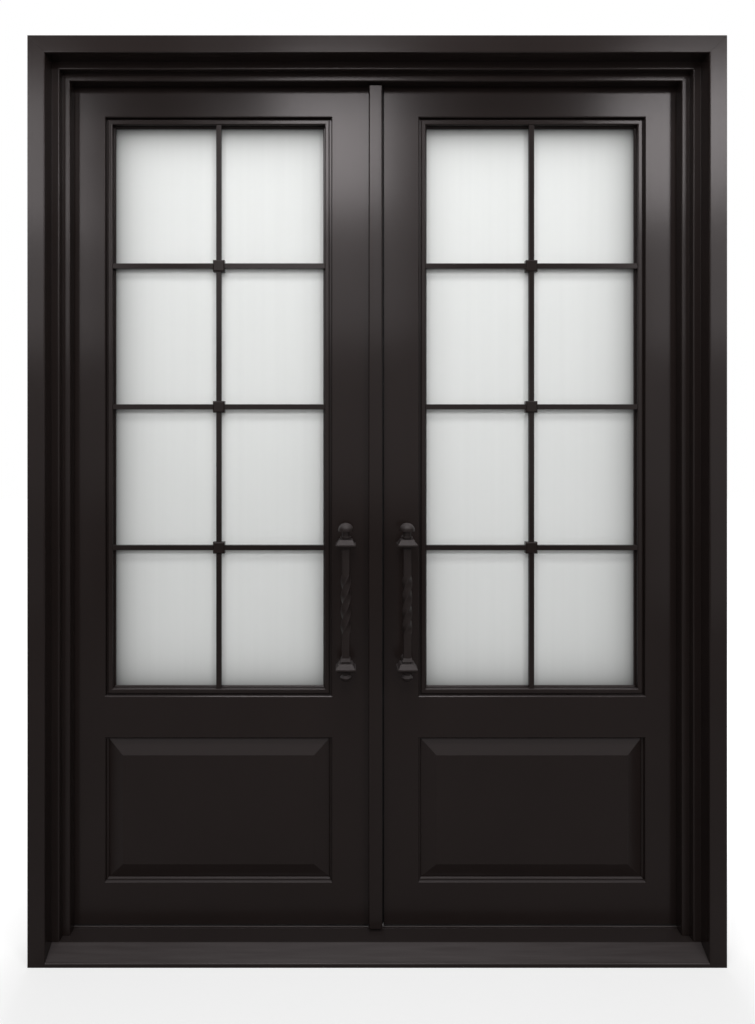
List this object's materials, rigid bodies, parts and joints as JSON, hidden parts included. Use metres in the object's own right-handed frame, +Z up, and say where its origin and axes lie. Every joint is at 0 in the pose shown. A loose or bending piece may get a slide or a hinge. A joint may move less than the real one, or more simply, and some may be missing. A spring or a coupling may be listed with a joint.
{
  "type": "double entrance door",
  "caption": "Double entrance door of dark painted iron in a stepped steel frame, frosted glass lights with iron grilles over raised panels, twisted pull handles",
  "frame": {"origin": "centre of the frame's foot on the floor, at the middle of the jamb depth", "axes": "+X along the width, -Y to the outside, +Z up the height"},
  "size_m": [1.829, 0.2385, 2.438],
  "materials": {
    "door_iron": "satin dark bronze paint",
    "pull_iron": "semi gloss dark bronze paint",
    "fitting_steel": "plain satin steel",
    "seal_rubber": "matt black",
    "sweep_rubber": "matt grey",
    "frosted_glass": "smooth frosted"
  },
  "bodies": {
    "frame": {"left_jamb": "door_iron", "right_jamb": "door_iron", "head_jamb": "door_iron", "threshold": "door_iron", "left_jamb_seal": "seal_rubber", "right_jamb_seal": "seal_rubber", "head_seal": "seal_rubber", "hinge_jamb_plates": "door_iron", "hinge_pins": "fitting_steel"},
    "left_sash": {"left_sash_frame": "door_iron", "left_glass_unit": "frosted_glass", "left_glazing_bead": "door_iron", "left_sash_hinge_plates": "door_iron"},
    "left_low_turn": {"left_low_button": "fitting_steel"},
    "left_high_turn": {"left_high_button": "fitting_steel"},
    "right_sash": {"right_sash_frame": "door_iron", "right_glass_unit": "frosted_glass", "right_glazing_bead": "door_iron", "right_sash_hinge_plates": "door_iron"},
    "right_low_turn": {"right_low_button": "fitting_steel"},
    "right_high_turn": {"right_high_button": "fitting_steel"},
    "top_bolt_rod": {"top_bolt": "fitting_steel"},
    "bottom_bolt_rod": {"bottom_bolt": "fitting_steel"},
    "left_leaf": {"left_leaf_frame": "door_iron", "left_hinge_leaf_plates": "door_iron", "left_light_moulding": "door_iron", "left_grille_upright": "door_iron", "left_grille_crossbars": "door_iron", "left_grille_collars": "door_iron", "left_outer_panel": "door_iron", "left_panel_bead": "door_iron", "left_inner_panel": "door_iron", "left_bottom_sweep": "sweep_rubber", "left_outer_grip": "pull_iron", "left_outer_pull_ends": "pull_iron", "left_inner_grip": "pull_iron", "left_inner_pull_ends": "pull_iron", "left_pull_studs": "fitting_steel", "left_sash_hinge_leaf_plates": "door_iron", "left_sash_hinge_pins": "fitting_steel", "astragal": "door_iron", "meeting_seal": "seal_rubber", "bolt_face_plates": "fitting_steel"},
    "right_leaf": {"right_leaf_frame": "door_iron", "right_hinge_leaf_plates": "door_iron", "right_light_moulding": "door_iron", "right_grille_upright": "door_iron", "right_grille_crossbars": "door_iron", "right_grille_collars": "door_iron", "right_outer_panel": "door_iron", "right_panel_bead": "door_iron", "right_inner_panel": "door_iron", "right_bottom_sweep": "sweep_rubber", "right_outer_grip": "pull_iron", "right_outer_pull_ends": "pull_iron", "right_inner_grip": "pull_iron", "right_inner_pull_ends": "pull_iron", "right_pull_studs": "fitting_steel", "right_sash_hinge_leaf_plates": "door_iron", "right_sash_hinge_pins": "fitting_steel"}
  },
  "joints": [
    {"name": "left_leaf_swing", "type": "hinge", "parent": "frame", "child": "left_leaf", "pos_m": [-0.8445, 0.0853, 0], "axis": [0, 0, 1], "range_deg": [0, 100]},
    {"name": "left_sash_swing", "type": "hinge", "parent": "left_leaf", "child": "left_sash", "pos_m": [-0.7445, 0.0818, 0], "axis": [0, 0, 1], "range_deg": [0, 90]},
    {"name": "left_low_button_turn", "type": "hinge", "parent": "left_leaf", "child": "left_low_turn", "pos_m": [-0.107, 0.076, 1.312], "axis": [0, 1, 0], "range_deg": [0, 90]},
    {"name": "left_high_button_turn", "type": "hinge", "parent": "left_leaf", "child": "left_high_turn", "pos_m": [-0.107, 0.076, 2.032], "axis": [0, 1, 0], "range_deg": [0, 90]},
    {"name": "right_leaf_swing", "type": "hinge", "parent": "frame", "child": "right_leaf", "pos_m": [0.8445, 0.0853, 0], "axis": [0, 0, -1], "range_deg": [0, 100]},
    {"name": "right_sash_swing", "type": "hinge", "parent": "right_leaf", "child": "right_sash", "pos_m": [0.7445, 0.0818, 0], "axis": [0, 0, -1], "range_deg": [0, 90]},
    {"name": "right_low_button_turn", "type": "hinge", "parent": "right_leaf", "child": "right_low_turn", "pos_m": [0.107, 0.076, 1.312], "axis": [0, -1, 0], "range_deg": [0, 90]},
    {"name": "right_high_button_turn", "type": "hinge", "parent": "right_leaf", "child": "right_high_turn", "pos_m": [0.107, 0.076, 2.032], "axis": [0, -1, 0], "range_deg": [0, 90]},
    {"name": "top_bolt_slide", "type": "slide", "parent": "left_leaf", "child": "top_bolt_rod", "axis": [0, 0, 1], "range_m": [0, 0.02]},
    {"name": "bottom_bolt_slide", "type": "slide", "parent": "left_leaf", "child": "bottom_bolt_rod", "axis": [0, 0, -1], "range_m": [0, 0.02]}
  ]
}
